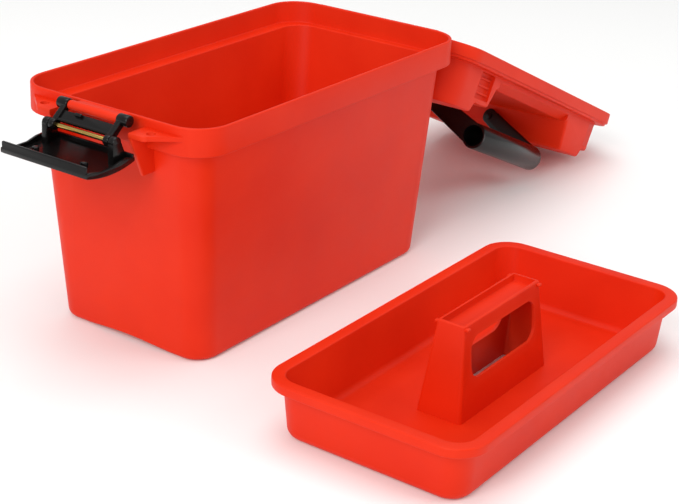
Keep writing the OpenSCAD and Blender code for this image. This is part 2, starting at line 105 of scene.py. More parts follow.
# %% Selecting
def let_go():
    if bpy.context.object and bpy.context.object.mode != "OBJECT":
        bpy.ops.object.mode_set(mode="OBJECT")
    bpy.ops.object.select_all(action="DESELECT")


def take(piece):
    let_go()
    piece.select_set(True)
    bpy.context.view_layer.objects.active = piece


def pick_faces(piece, test):
    """Selects the faces whose centre (in mm) and normal pass the test, and stays in edit mode."""
    take(piece)
    bpy.ops.object.mode_set(mode="EDIT")
    bpy.ops.mesh.select_mode(type="FACE")
    bpy.ops.mesh.select_all(action="DESELECT")
    bpy.ops.object.mode_set(mode="OBJECT")
    for face in piece.data.polygons:
        face.select = test(face.center / MM, face.normal)
    bpy.ops.object.mode_set(mode="EDIT")


def pick_edges(piece, test):
    """Selects the edges whose two ends (in mm) pass the test, and stays in edit mode."""
    take(piece)
    bpy.ops.object.mode_set(mode="EDIT")
    bpy.ops.mesh.select_mode(type="EDGE")
    bpy.ops.mesh.select_all(action="DESELECT")
    bpy.ops.object.mode_set(mode="OBJECT")
    points = piece.data.vertices
    for edge in piece.data.edges:
        edge.select = test(*(points[i].co / MM for i in edge.vertices))
    bpy.ops.object.mode_set(mode="EDIT")


# %% Drawing outlines
def plate(name, length, width, radius, z, steps=10):
    """One flat face with round corners, left in edit mode and selected."""
    let_go()
    bpy.ops.mesh.primitive_plane_add(size=1, location=(0, 0, z * MM))
    piece = bpy.context.object
    piece.name = name
    piece.scale = (length * MM, width * MM, 1)
    bpy.ops.object.transform_apply(location=True, rotation=True, scale=True)
    bpy.ops.object.mode_set(mode="EDIT")
    bpy.ops.mesh.select_all(action="SELECT")
    bpy.ops.mesh.bevel(offset=radius * MM, segments=steps, affect="VERTICES")
    return piece


def outline(name, points, plane="XZ", at=0):
    """A flat face through the points, on the plane named, left in edit mode and selected."""
    let_go()
    bpy.ops.mesh.primitive_circle_add(vertices=len(points), fill_type="NGON")
    piece = bpy.context.object
    piece.name = name
    for vertex, (a, b) in zip(piece.data.vertices, points):
        vertex.co = Vector((a, at, b) if plane == "XZ" else (a, b, at)) * MM
    bpy.ops.object.mode_set(mode="EDIT")
    bpy.ops.mesh.select_all(action="SELECT")
    return piece


# %% Pulling and drawing in
def pull(dz, from_size=None, to_size=None):
    """Extrudes the selected face along Z, and scales it in X and Y from one size to another."""
    bpy.ops.mesh.extrude_region_move(TRANSFORM_OT_translate={"value": (0, 0, dz * MM)})
    if to_size:
        ratio = (to_size[0] / from_size[0], to_size[1] / from_size[1], 1)
        bpy.ops.transform.resize(value=ratio, center_override=(0, 0, 0))


def pull_y(dy):
    bpy.ops.mesh.extrude_region_move(TRANSFORM_OT_translate={"value": (0, dy * MM, 0)})


def draw_in(thickness, from_size=None, to_size=None):
    bpy.ops.mesh.inset(thickness=thickness * MM, depth=0)
    if to_size:
        ratio = (to_size[0] / from_size[0], to_size[1] / from_size[1], 1)
        bpy.ops.transform.resize(value=ratio, center_override=(0, 0, 0))


def close_up(piece):
    """Merges doubles, points all faces outwards and leaves edit mode."""
    take(piece)
    bpy.ops.object.mode_set(mode="EDIT")
    bpy.ops.mesh.select_all(action="SELECT")
    bpy.ops.mesh.remove_doubles(threshold=0.01 * MM)
    bpy.ops.mesh.normals_make_consistent(inside=False)
    bpy.ops.object.mode_set(mode="OBJECT")
    return piece


# %% Rounding, cutting and joining
def round_edges(piece, width, segments=3, angle=32):
    take(piece)
    bevel = piece.modifiers.new("round", "BEVEL")
    bevel.width, bevel.segments = width * MM, segments
    bevel.limit_method, bevel.angle_limit = "ANGLE", math.radians(angle)
    bpy.ops.object.modifier_apply(modifier=bevel.name)
    return piece


def boolean(piece, tool, operation):
    take(piece)
    step = piece.modifiers.new(operation.lower(), "BOOLEAN")
    step.object, step.operation, step.solver = tool, operation, "EXACT"
    bpy.ops.object.modifier_apply(modifier=step.name)
    bpy.data.objects.remove(tool, do_unlink=True)
    return piece


def cut(piece, *tools):
    for tool in tools:
        boolean(piece, tool, "DIFFERENCE")
    return piece


def join(piece, *parts):
    for part in parts:
        boolean(piece, part, "UNION")
    return piece


def place(piece, matrix):
    """Puts a finished shape in its place, with the place in its mesh."""
    take(piece)
    piece.matrix_world = matrix @ piece.matrix_world
    bpy.ops.object.transform_apply(location=True, rotation=True, scale=True)
    return piece


def mirrored(piece, axis):
    """A second copy, mirrored across the middle plane of that axis, with its own mesh."""
    twin = piece.copy()
    twin.data = piece.data.copy()
    bpy.context.collection.objects.link(twin)
    place(twin, Matrix.Scale(-1, 4, Vector([axis == k for k in "XYZ"])))
    return close_up(twin)


# %% Simple solids with rounded edges
def rod(name, radius, length, at, along="Y", edge=0.6, vertices=48):
    let_go()
    turn = {"X": (0, math.pi / 2, 0), "Y": (math.pi / 2, 0, 0), "Z": (0, 0, 0)}[along]
    bpy.ops.mesh.primitive_cylinder_add(vertices=vertices, radius=radius * MM, depth=length * MM,
                                        location=[v * MM for v in at], rotation=turn)
    piece = bpy.context.object
    piece.name = name
    bpy.ops.object.transform_apply(location=True, rotation=True, scale=True)
    return round_edges(piece, edge, 2) if edge else piece


def block(name, low, high, edge=0.6):
    let_go()
    bpy.ops.mesh.primitive_cube_add(size=1, location=[(a + b) / 2 * MM for a, b in zip(low, high)])
    piece = bpy.context.object
    piece.name = name
    piece.scale = [(b - a) * MM for a, b in zip(low, high)]
    bpy.ops.object.transform_apply(location=True, rotation=True, scale=True)
    return round_edges(piece, edge, 2) if edge else piece


def prism(name, points, y, thickness, edge=0.6):
    """A flat web in an XZ plane, centred on y."""
    piece = outline(name, points, at=y - thickness / 2)
    pull_y(thickness)
    close_up(piece)
    return round_edges(piece, edge, 2) if edge else piece


# %% [markdown]
# ## The box
# The box is one closed skin. It starts as the outline of its rim, the largest outline it has.
# Pushed down it makes the collar, drawn in it makes the step under the collar, and pushed down
# again with a smaller size it makes the leaning walls. The same moves on the top face make the
# inside, with the ledge that the tray's rim sits on. Drawing an outline in keeps its corners true
# arcs, which scaling alone wouldn't.

# %% The tub
floor_z = 7.4
collar_step = 7.2


def tub():
    piece = plate("tub", collar_l, collar_w, collar_r, rim_z)
    pull(-collar_h)
    draw_in(collar_step, (1, collar_w - 2 * collar_step), (1, tub_w))
    pull(-tub_top, (tub_l, tub_w), (base_l, base_w))
    bpy.ops.mesh.bevel(offset=6 * MM, segments=5, affect="EDGES")
    pick_faces(piece, lambda c, n: abs(c.z - rim_z) < 0.1)
    draw_in(wall)
    pull(-(collar_h - wall))
    draw_in(collar_step, (1, collar_w - 2 * wall - 2 * collar_step), (1, tub_w - 2 * wall))
    pull(floor_z - tub_top - wall, (tub_l - 2 * wall, tub_w - 2 * wall),
         (base_l - 2 * wall + 1.4, base_w - 2 * wall + 0.6))
    bpy.ops.mesh.bevel(offset=5 * MM, segments=4, affect="EDGES")
    return round_edges(close_up(piece), 1.1, 3)


box = tub()
print("tub:", len(box.data.polygons), "faces")

# %% [markdown]
# Under each end there is a shallow arch for the fingers. A very large cylinder, tipped a little so
# that the arch fades out along the base, cuts it.


# %% The hand scoops
def scoop_cutter(side):
    rise, span, reach = 5, 110, 45
    radius = ((span / 2) ** 2 + rise ** 2) / (2 * rise)
    cutter = rod("scoop", radius, 100, (-side * 30, 0, -radius), "X", edge=0, vertices=360)
    return place(cutter, Matrix.Translation(Vector((side * base_l / 2, 0, rise)) * MM)
                 @ Matrix.Rotation(-side * math.atan(rise / reach), 4, "Y"))


cut(box, scoop_cutter(1), scoop_cutter(-1))
print("box with scoops:", len(box.data.polygons), "faces")

# %% [markdown]
# At the hinge end the collar carries three of the hinge's five knuckles, and is notched where the
# lid's two turn. At the latch end it carries two padlock tabs, each on a thin web, and the barrel
# that the latch hangs from. They are rounded first and joined to the tub afterwards, so that each
# keeps its own small edge radius.

# %% Knuckles
hinge_l, knuckle_gap, knuckle_r = 138, 0.5, 5.2
knuckle_l = (hinge_l - 4 * knuckle_gap) / 5


def knuckle_y(k):
    return -hinge_l / 2 + k * (knuckle_l + knuckle_gap) + knuckle_l / 2


def knuckles(first):
    return [rod("knuckle", knuckle_r, knuckle_l, (hinge_x, knuckle_y(k), hinge_z), edge=0.7)
            for k in range(first, 5, 2)]


def knuckle_notches(first, depth):
    low, high = hinge_x - depth, hinge_x + 20
    return [block("notch", (low, knuckle_y(k) - knuckle_l / 2 - 0.3, hinge_z - 5.8),
                  (high, knuckle_y(k) + knuckle_l / 2 + 0.3, hinge_z + 5.8), edge=0)
            for k in range(first, 5, 2)]


cut(box, *knuckle_notches(1, knuckle_r + 0.6))
join(box, *knuckles(0))
print("box with knuckles:", len(box.data.polygons), "faces")


# %% Padlock tabs
def arc(cx, cy, radius, start, end, steps=8):
    """Points on an arc, from one angle to another, in degrees."""
    turn = [math.radians(start + (end - start) * k / steps) for k in range(steps + 1)]
    return [(cx + radius * math.cos(a), cy + radius * math.sin(a)) for a in turn]


def padlock_tab(z, inner):
    """One tab with a round outer corner; inner says how far it runs into the wall behind it."""
    out = collar_l / 2 + 19
    points = [(-collar_l / 2 + inner, 42), (-out, 42), *arc(-out + 6, 54, 6, 180, 112),
              *arc(-collar_l / 2 + collar_r, collar_w / 2 - collar_r, collar_r - inner, 149, 180)]
    tab = outline("tab", points, "XY", z)
    pull(4)
    round_edges(close_up(tab), 0.8, 2)
    return cut(tab, rod("hole", 4, 12, (-collar_l / 2 - 9, padlock_span / 2, z), "Z", edge=0))


def gusset():
    face, low = collar_l / 2, seat_z - 39.5
    lean = tub_l / 2 - 17.5 * (1 - low / tub_top)
    return prism("gusset", [(-face + 1.5, seat_z - 3), (-face - 18, seat_z - 3), (-face - 18, seat_z - 6.5),
                            (-lean - 14, low), (-lean + 1.5, low), (-tub_l / 2 + 1.5, tub_top + 1.5),
                            (-face + 1.5, tub_top + 1.5)], 43.5, 3)


for make in (lambda: padlock_tab(seat_z - 4.5, 1.5), gusset):
    part = make()
    twin = mirrored(part, "Y")
    join(box, part, twin)
print("box with tabs:", len(box.data.polygons), "faces")

# %% Latch barrel
barrel = rod("barrel", 4, barrel_l, (barrel_x, 0, barrel_z), edge=0.5)
web = block("web", (barrel_x, -barrel_l / 2 + 0.3, barrel_z - 2.2),
            (-collar_l / 2 + 1.5, barrel_l / 2 - 0.3, barrel_z + 1))
join(box, barrel, web)
box.name = "box_moulding"
print("box:", len(box.data.polygons), "faces")

# %% [markdown]
# ## The lid
# The lid is modelled shut, level over the box, and folded back at the end by one turn about the
# hinge. Its shape is a shallow dish, the skirt, with a raised crown on top. The crown has a full
# height block at each end, a lower shoulder beside each block, and a valley between them that the
# handle lies in. The crown is drawn as its side view and pulled across the width. Its four long
# vertical corners are rounded first, with a large radius, and then every other edge with a small
# one, so that the large ones stay whole. Last, the valley's floor is sloped at its open sides.

# %% The crown
half_crown = crown_l / 2
half_valley = valley_l / 2
near_shoulder = half_crown - (crown_l - valley_l) / 2 + shoulder_l
far_shoulder = half_crown - shoulder_l
crown_wall, crown_draft = 2.6, 2.6


def crown(inside=0):
    """The raised top as a solid, drawn in by a wall's thickness where it is the hollow."""
    t = inside
    h, v = half_crown, half_valley
    side = [(h - t, 6), (h - t, block_h - t), (near_shoulder + t, block_h - t),
            (near_shoulder - 5 + t, shoulder_h - t), (v + 3 + t, shoulder_h - t),
            (v - 4 + t, valley_h - t), (-v + 4 - t, valley_h - t), (-v - 3 - t, block_h - t),
            (-far_shoulder + t, block_h - t), (-far_shoulder - 5 + t, shoulder_h - t),
            (-h + t, shoulder_h - t), (-h + t, 6)]
    piece = outline("crown", side, at=-crown_w / 2 + t)
    pull_y(crown_w - 2 * t)
    close_up(piece)
    pick_edges(piece, lambda p, q: abs(p.x - q.x) < 0.1 and abs(abs(p.x) - h + t) < 0.1
               and abs(p.z - q.z) > 20)
    bpy.ops.mesh.bevel(offset=(crown_r - t) * MM, segments=10, affect="EDGES")
    close_up(piece)
    for vertex in piece.data.vertices:  # the draft: the sides lean in towards the top
        lean = crown_draft * max(0, vertex.co.z / MM - skirt_h) / (block_h - skirt_h)
        vertex.co.x -= math.copysign(lean * MM, vertex.co.x) * (abs(vertex.co.x) > (v + 20) * MM)
        vertex.co.y -= math.copysign(lean * MM, vertex.co.y)
    round_edges(piece, 1.6 if inside else 3.4, 2 if inside else 4, angle=25)
    return cut(piece, valley_slope(1, t), valley_slope(-1, t))


def valley_slope(side, t):
    """What is cut off so that the valley's floor slopes down to the deck at its open side."""
    out, near, top = side * (crown_w / 2 + 3), side * (crown_w / 2 - 9.5), valley_h - t
    length = half_valley - 6 + t
    wedge = outline("slope", [(out, top + 1), (out, 15.5 - t), (near, top + 0.01), (near, top + 1)], at=0)
    pull_y(2 * length)
    lengthwise = Matrix.Rotation(math.pi / 2, 4, "Z") @ Matrix.Translation((0, -length * MM, 0))
    return place(close_up(wedge), lengthwise)


crown_solid = crown()
print("crown:", len(crown_solid.data.polygons), "faces")

# %% [markdown]
# The lid can be gripped by finger pockets in the crown's sides. Each is a shallow recess, and the
# two at the hinge end have three thin ribs each.


# %% Finger pockets
pocket_l, pocket_depth, pocket_low, pocket_high = 29, 6, 16, 43
rib_heights, rib_t = (21, 28.5, 36), 1.8


def pocket_cutters(grow=0):
    cutters = []
    for x in (half_valley + 8, -half_crown + 9):
        for side in (1, -1):
            near, far = side * (crown_w / 2 - pocket_depth - grow), side * (crown_w / 2 + 8)
            cutters.append(block("pocket", (x - grow, min(near, far), pocket_low - grow),
                                 (x + pocket_l + grow, max(near, far), pocket_high + grow), edge=1.6))
    return cutters


def pocket_ribs():
    ribs = []
    for side in (1, -1):
        for z in rib_heights:
            near, far = side * (crown_w / 2 - 8), side * (crown_w / 2 - 3.2)
            ribs.append(block("rib", (half_valley + 7, min(near, far), z),
                              (half_valley + 38, max(near, far), z + rib_t), edge=0.5))
    return ribs


cut(crown_solid, *pocket_cutters())
join(crown_solid, *pocket_ribs())
print("crown with pockets:", len(crown_solid.data.polygons), "faces")


# %% The hollow of the crown
def crown_hollow():
    return cut(crown(crown_wall), *pocket_cutters(crown_wall))


# %% The skirt
def skirt():
    piece = plate("lid", skirt_l, skirt_w, skirt_r, 0)
    pull(skirt_h)
    draw_in(2.5)
    pull(deck_h - skirt_h)
    return round_edges(close_up(piece), 1.0, 3)


def rim_space():
    """The collar's room in the lid, as a plain rounded slab."""
    piece = plate("rim_space", collar_l + 2 * skirt_gap, collar_w + 2 * skirt_gap, collar_r + skirt_gap, -2)
    pull(10)
    return close_up(piece)


def seal_groove():
    outer = plate("groove", collar_l + 1, collar_w + 1, collar_r + 0.5, 4)
    pull(6.95)
    close_up(outer)
    inner = plate("groove_core", collar_l - 7, collar_w - 7, collar_r - 3.5, 2)
    pull(12)
    return cut(outer, close_up(inner))


lid = skirt()
join(lid, crown_solid)
cut(lid, rim_space(), seal_groove(), crown_hollow())
print("lid shell:", len(lid.data.polygons), "faces")

# %% [markdown]
# What works the lid is on its ends: two hinge knuckles, two padlock tabs over the box's own, a
# shelf on four ribs for the latch's lip to hook over, and a boss in each end of the valley for the
# handle's stub pins.

# %% Fittings of the lid
to_shut = Matrix.Translation(Vector((0, 0, seat_z)) * MM)
place(lid, to_shut)
cut(lid, block("web_notch", (-skirt_l / 2 - 2, -barrel_l / 2 - 1.5, seat_z - 1),
               (-collar_l / 2 + 3, barrel_l / 2 + 1.5, seat_z + 8), edge=0),
    *knuckle_notches(0, knuckle_r + 0.6))
join(lid, *knuckles(1))
tab = padlock_tab(seat_z, -1.6)
join(lid, tab, mirrored(tab, "Y"))
shelf_z, shelf_out, shelf_in = seat_z + 23.5, collar_l / 2 + 17, crown_l / 2 - 3
join(lid, block("shelf", (-shelf_out, -41, shelf_z - 3), (-shelf_in, 41, shelf_z), edge=0.8))
for y in (-39.75, -13, 13, 39.75):
    section = [(-shelf_in, shelf_z - 1), (-shelf_out + 1, shelf_z - 1), (-shelf_out + 1, shelf_z - 5),
               (-skirt_l / 2 + 1, seat_z + 13), (-shelf_in, seat_z + 13)]
    join(lid, prism("shelf_rib", section, y, 2.5))
for side in (1, -1):
    join(lid, rod("boss", 5.7, 12, (side * (half_valley + 8), 0, seat_z + handle_pivot_h), "X", edge=0.8))
    cut(lid, rod("socket", 3.55, 14, (side * (half_valley + 7), 0, seat_z + handle_pivot_h), "X", edge=0))
print("lid:", len(lid.data.polygons), "faces")

# %% Fold the lid back
hinge = Vector((hinge_x, 0, hinge_z)) * MM
swing = Matrix.Rotation(math.radians(lid_open), 4, "Y")
folded = Matrix.Translation(hinge) @ swing @ Matrix.Translation(-hinge)
place(lid, folded)
lid.name = "lid_moulding"

# %% [markdown]
# ## The tray
# The tray is another closed skin, this time with a turned-down rim. From the rim's underside the
# outline is drawn in, pushed up into the channel under the rim, drawn in again and pushed down to
# make the outer wall.

# %% The tray's dish
tray_wall, lip_w = 2.4, 8.5


def dish():
    piece = plate("tray", tray_l, tray_w, tray_r, tray_h)
    pull(-tray_lip)
    draw_in(tray_wall)
    pull(tray_lip - tray_wall)
    draw_in(lip_w - tray_wall)
    body = (tray_l - 2 * lip_w, tray_w - 2 * lip_w)
    pull(-(tray_h - tray_wall), body, (body[0] - 8, body[1] - 8))
    bpy.ops.mesh.bevel(offset=8 * MM, segments=5, affect="EDGES")
    pick_faces(piece, lambda c, n: abs(c.z - tray_h) < 0.1)
    draw_in(lip_w + tray_wall)
    inner = (body[0] - 2 * tray_wall, body[1] - 2 * tray_wall)
    pull(tray_wall - tray_h, inner, (inner[0] - 8, inner[1] - 8))
    bpy.ops.mesh.bevel(offset=5 * MM, segments=4, affect="EDGES")
    close_up(piece)
    return round_edges(piece, 2.0, 4)


tray = dish()
print("dish:", len(tray.data.polygons), "faces")

# %% [markdown]
# The tray's grip is a hollow tower in the middle: it is open from below, narrows towards the top,
# and has a wide opening through both sides for the fingers. A trough runs along its top, and an
# ear stands out at each corner of it.

# %% The grip
grab_h, grab_foot, grab_head = 81, (138, 42), (118, 25)
opening_l, opening_h, opening_r, opening_z = 100, 36, 12, 51
trough_depth = 6


def tower(inside, low, high):
    """The grip's leaning tower between two heights, or with a wall's thickness, its hollow."""
    foot, head = ([a - (a - b) * z / grab_h - 2 * inside for a, b in zip(grab_foot, grab_head)]
                  for z in (low, high))
    piece = plate("tower", *foot, 3, low, steps=4)
    pull(high - low, foot, head)
    return close_up(piece)


def finger_opening():
    piece = plate("opening", opening_l, opening_h, opening_r, -40, steps=8)
    pull(80)
    upright = Matrix.Rotation(math.pi / 2, 4, "X")
    return place(close_up(piece), Matrix.Translation((0, 0, opening_z * MM)) @ upright)


def ear(x, y):
    return block("ear", (x - 2.2, y - 2.6, grab_h - 4), (x + 2.2, y + 2.6, grab_h - 1.4), edge=0.9)


grab = round_edges(tower(0, 0.2, grab_h), 0.9, 3)
join(grab, *[ear(x * (grab_head[0] / 2 - 3), y * (grab_head[1] / 2 + 0.5))
             for x in (1, -1) for y in (1, -1)])
trough = block("trough", (-grab_head[0] / 2 + tray_wall, -grab_head[1] / 2 + tray_wall, grab_h - trough_depth),
               (grab_head[0] / 2 - tray_wall, grab_head[1] / 2 - tray_wall, grab_h + 4), edge=0.8)
join(tray, grab)
cut(tray, trough, tower(tray_wall, -1, grab_h - trough_depth - tray_wall), finger_opening())
place(tray, Matrix.Translation(Vector((tray_x, tray_y, 0)) * MM))
tray.name = "tray_moulding"
print("tray:", len(tray.data.polygons), "faces")

# %% [markdown]
# ## The carry handle
# The handle is a thick tube for the palm with a flat arm at each end. It is modelled standing
# straight up over its pivot, leaned over, and then folded back with the lid.

# %% The handle
arm_x = valley_l / 2 - 8.5


def handle_arm():
    """One arm: a rounded web drawn in its own plane and leaned in towards the grip."""
    reach = handle_reach
    top, foot = arc(0, reach, grip_r - 0.2, -25, 205, 16), arc(0, 0, 9, 200, 340, 10)
    piece = outline("arm", top + foot, at=0)
    pull_y(4)
    close_up(piece)
    place(piece, Matrix.Rotation(-math.pi / 2, 4, "Z"))
    for vertex in piece.data.vertices:  # a straight lean keeps every face flat
        vertex.co.x += (arm_x - (arm_x - grip_l / 2 + 4.4) * vertex.co.z / MM / reach) * MM
    return round_edges(piece, 1.2, 3)


def handle():
    piece = rod("handle", grip_r, grip_l, (0, 0, handle_reach), "X", edge=1.4, vertices=72)
    bore = rod("bore", grip_r - 2.8, grip_l + 12, (0, 0, handle_reach), "X", edge=0)
    arm = handle_arm()
    join(piece, arm, mirrored(arm, "X"))
    cut(piece, bore)
    join(piece, *[rod("stub", 3.5, 18, (side * (arm_x + 7), 0, 0), "X", edge=0.8) for side in (1, -1)])
    return piece


carry = handle()
place(carry, folded @ to_shut @ Matrix.Translation((0, 0, handle_pivot_h * MM))
      @ Matrix.Rotation(math.radians(handle_lean), 4, "X"))
carry.name = "carry_handle_moulding"
print("handle:", len(carry.data.polygons), "faces")

# %% [markdown]
# ## The latch
# The latch is a two-bar over-centre catch. A link with two round eyes hangs from the box's barrel.
# A wide lever turns on a brass rod through the link's lower end. The lever is a curved dish with an
# upright lip along its outer edge, and two ears that carry the rod.


# %% The link
free, arm_t, ear_t = 0.6, 5.5, 6


def latch_link():
    arm_y, half = barrel_l / 2 + free + arm_t / 2, barrel_l / 2 + 2
    piece = block("link", (-1.3, -half, -link_l + 4.6), (1.3, half, -link_l + 14), edge=0.5)
    parts = [block("link_lip", (-2.4, -half, -link_l + 3.4), (1.3, half, -link_l + 5.6), edge=0.5),
             block("link_stop", (-3.8, 6, -link_l + 10.5), (0, 13, -link_l + 13.5), edge=0.6)]
    for side in (1, -1):
        parts += [rod("eye", 4.9, 11, (0, side * (barrel_l / 2 + 6.1), 0), edge=0.9),
                  rod("foot", 4.6, arm_t, (0, side * arm_y, -link_l), edge=0.9),
                  block("arm", (-3, side * arm_y - arm_t / 2, -link_l), (3, side * arm_y + arm_t / 2, 0),
                        edge=0.9)]
    join(piece, *parts)
    return place(piece, Matrix.Translation(Vector((barrel_x, 0, barrel_z)) * MM)
                 @ Matrix.Rotation(math.radians(link_open), 4, "Y"))


link = latch_link()
link.name = "latch_link_moulding"
print("link:", len(link.data.polygons), "faces")

# %% [markdown]
# The lever's section is an arc with a wall of one thickness, and its two sides are closed by
# cheeks. The section is drawn once as an outer outline and once, a wall smaller, as the hollow.

# %% The lever
lever_w, lever_reach, lever_tail, lever_low = 93, 42, 11.5, 17
lever_wall, lip_h = 2.5, 10


def lever_dish(t):
    """The space that the lever's dish fills, or with a wall's thickness t, its hollow."""
    radius, centre_x, centre_z = 95 - t, -17, 75
    left, right = -lever_reach + t, lever_tail - t
    bow = []
    for k in range(13):
        x = left + (right - left) * k / 12
        bow.append((x, centre_z - math.sqrt(radius ** 2 - (x - centre_x) ** 2)))
    top = -12.5 if t == 0 else 20
    waist = [] if t else [(right - 8, -11.5), (-4, -12), (-14, -14.6), (-26, -14.6), (left + 6, -12.6)]
    piece = outline("dish", bow + [(right, top)] + waist + [(left, top)], at=-lever_w / 2 + t)
    pull_y(lever_w - 2 * t)
    close_up(piece)
    return piece if t else round_edges(piece, 0.8, 2)


def lever_ear(side):
    y = side * (barrel_l / 2 + free + arm_t + 0.5 + ear_t / 2)
    section = [(-5, -19), (-4.6, 0), (4.6, 0), (8, -8), (10.5, -15), (10.5, -16)]
    return [prism("ear", section, y, ear_t, edge=0.8),
            rod("ear_end", 4.6, ear_t, (0, y, 0), edge=0.8)]


def latch_lever():
    piece = lever_dish(0)
    cut(piece, lever_dish(lever_wall))
    lip = block("lip", (-lever_reach, -lever_w / 2 + 1.5, -lever_low),
                (-lever_reach + 2.6, lever_w / 2 - 1.5, -lever_low + lip_h), edge=1.0)
    tail = block("tail", (lever_tail - lever_wall, -lever_w / 2 + 1, -16.4),
                 (lever_tail, lever_w / 2 - 1, -10), edge=0.7)
    join(piece, lip, tail, *lever_ear(1), *lever_ear(-1),
         *[rod("post", 3, 7, (-24, y, -15.2), "Z", edge=1.0) for y in (-26, 26)])
    return place(piece, Matrix.Translation(Vector((rod_x, 0, rod_z)) * MM))


lever = latch_lever()
lever.name = "latch_lever_moulding"
print("lever:", len(lever.data.polygons), "faces")

# %% [markdown]
# ## Pins, rod and seal
# Three turned pins and one moulded ring finish the working parts. Each pin gets the small chamfer
# that a turned end has.

# %% Pins
def pin(name, node, chamfer):
    low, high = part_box(node)
    middle = (low + high) / 2 / MM
    radius = (high.x - low.x) / 2 / MM
    return rod(name, radius, (high.y - low.y) / MM, middle, edge=chamfer)


hinge_pin = pin("hinge_pin_turned", "lid_hinge_pin", 0.5)
barrel_pin = pin("barrel_pin_turned", "latch_barrel_pin", 0.4)
lever_rod = pin("lever_rod_turned", "latch_lever_rod", 0.5)


# %% Seal
def seal():
    """A round cord that follows the collar: a rounded outline turned into a curve and given a bevel."""
    piece = plate("seal_ring", collar_l - wall, collar_w - wall, collar_r - wall / 2, seat_z + 9.1)
    bpy.ops.mesh.delete(type="ONLY_FACE")
    bpy.ops.object.mode_set(mode="OBJECT")
    bpy.ops.object.convert(target="CURVE")
    piece = bpy.context.object
    piece.data.bevel_depth, piece.data.bevel_resolution = 1.8 * MM, 4
    bpy.ops.object.convert(target="MESH")
    return place(close_up(bpy.context.object), folded)


ring = seal()
ring.name = "seal_ring_moulded"
print("seal:", len(ring.data.polygons), "faces")

# %% [markdown]
# ## Materials
# Every colour is written as the hex value that a paint chart would give, and one function turns it
# to the linear light that the shader works in. One more function adds a node with its settings and
# its links, so that a material reads as a list of what feeds what.


# %% Colour and node helpers
def linear(hex_value):
    parts = [int(hex_value[i:i + 2], 16) / 255 for i in (1, 3, 5)]
    return [*(c / 12.92 if c <= 0.04045 else ((c + 0.055) / 1.055) ** 2.4 for c in parts), 1]


def blank_material(name):
    m = bpy.data.materials.new(name)
    m.use_nodes = True
    m.node_tree.nodes.clear()
    return m


def add(material, kind, settings=None, **inputs):
    """Adds a node; a setting is a property, an input is a value or another node's output."""
    node = material.node_tree.nodes.new(kind)
    for key, value in (settings or {}).items():
        setattr(node, key, value)
    for key, value in inputs.items():
        socket = node.inputs[key.replace("_", " ")]
        if isinstance(value, bpy.types.NodeSocket):
            material.node_tree.links.new(value, socket)
        else:
            socket.default_value = value
    return node


def per_mm(size):
    """The scale of a noise whose lumps are about that many millimetres across."""
    return 1 / (size * MM)


# %% [markdown]
# The red mouldings are polypropylene, from a mould with a fine spark-eroded texture. It is a waxy
# plastic: the colour is deep and even, the surface reflects little, and the texture spreads the
# reflections wide. Real spark texture is about 0.1 mm, too fine to show, so it
# is drawn at 0.6 mm. A slow waviness stands for the sink marks that thick and thin walls leave, and
# edges and corners get a painted highlight: their colour is mixed a little paler.

# %% Moulded red polypropylene
def moulded_polypropylene():
    m = blank_material("moulded_red_polypropylene")
    place_on = add(m, "ShaderNodeTexCoord").outputs["Object"]
    flow = add(m, "ShaderNodeTexNoise", Vector=place_on, Scale=per_mm(70), Detail=3.0)
    tint = add(m, "ShaderNodeValToRGB", Fac=flow.outputs["Fac"])
    tint.color_ramp.elements[0].position, tint.color_ramp.elements[0].color = 0.3, linear("#D92707")
    tint.color_ramp.elements[1].position, tint.color_ramp.elements[1].color = 0.7, linear("#E02E0C")
    # Painted highlight: convex edges and corners, found by pointiness, are mixed towards a paler orange.
    edge = add(m, "ShaderNodeNewGeometry").outputs["Pointiness"]
    edge_highlight = add(m, "ShaderNodeMapRange", Value=edge)
    edge_highlight.inputs["From Min"].default_value, edge_highlight.inputs["From Max"].default_value = 0.53, 0.62
    edge_highlight.inputs["To Max"].default_value = 0.30
    colour = add(m, "ShaderNodeMix", {"data_type": "RGBA"})
    m.node_tree.links.new(edge_highlight.outputs["Result"], colour.inputs[0])
    m.node_tree.links.new(tint.outputs["Color"], colour.inputs[6])
    # The paler orange of the painted edge highlight.
    colour.inputs[7].default_value = linear("#F05C3E")
    grain = add(m, "ShaderNodeTexNoise", Vector=place_on, Scale=per_mm(0.6), Detail=2.0)
    scuff = add(m, "ShaderNodeTexNoise", Vector=place_on, Scale=per_mm(18), Detail=4.0)
    rough = add(m, "ShaderNodeMapRange", Value=scuff.outputs["Fac"])
    rough.inputs["To Min"].default_value, rough.inputs["To Max"].default_value = 0.40, 0.52
    fine = add(m, "ShaderNodeBump", Height=grain.outputs["Fac"], Strength=0.10, Distance=0.05 * MM)
    sink = add(m, "ShaderNodeBump", Height=flow.outputs["Fac"], Strength=0.20, Distance=0.4 * MM,
               Normal=fine.outputs["Normal"])
    shader = add(m, "ShaderNodeBsdfPrincipled", Base_Color=colour.outputs[2], Roughness=rough.outputs["Result"],
                 IOR=1.49, Specular_IOR_Level=0.16, Normal=sink.outputs["Normal"])
    add(m, "ShaderNodeOutputMaterial", Surface=shader.outputs["BSDF"])
    return m


red = moulded_polypropylene()

# %% [markdown]
# The handle and the latch are black ABS from a polished mould. The colour is almost nothing, and the
# whole look is the reflection, so the surface gets a slight unevenness that bends long highlights,
# and faint hairline scratches from use.

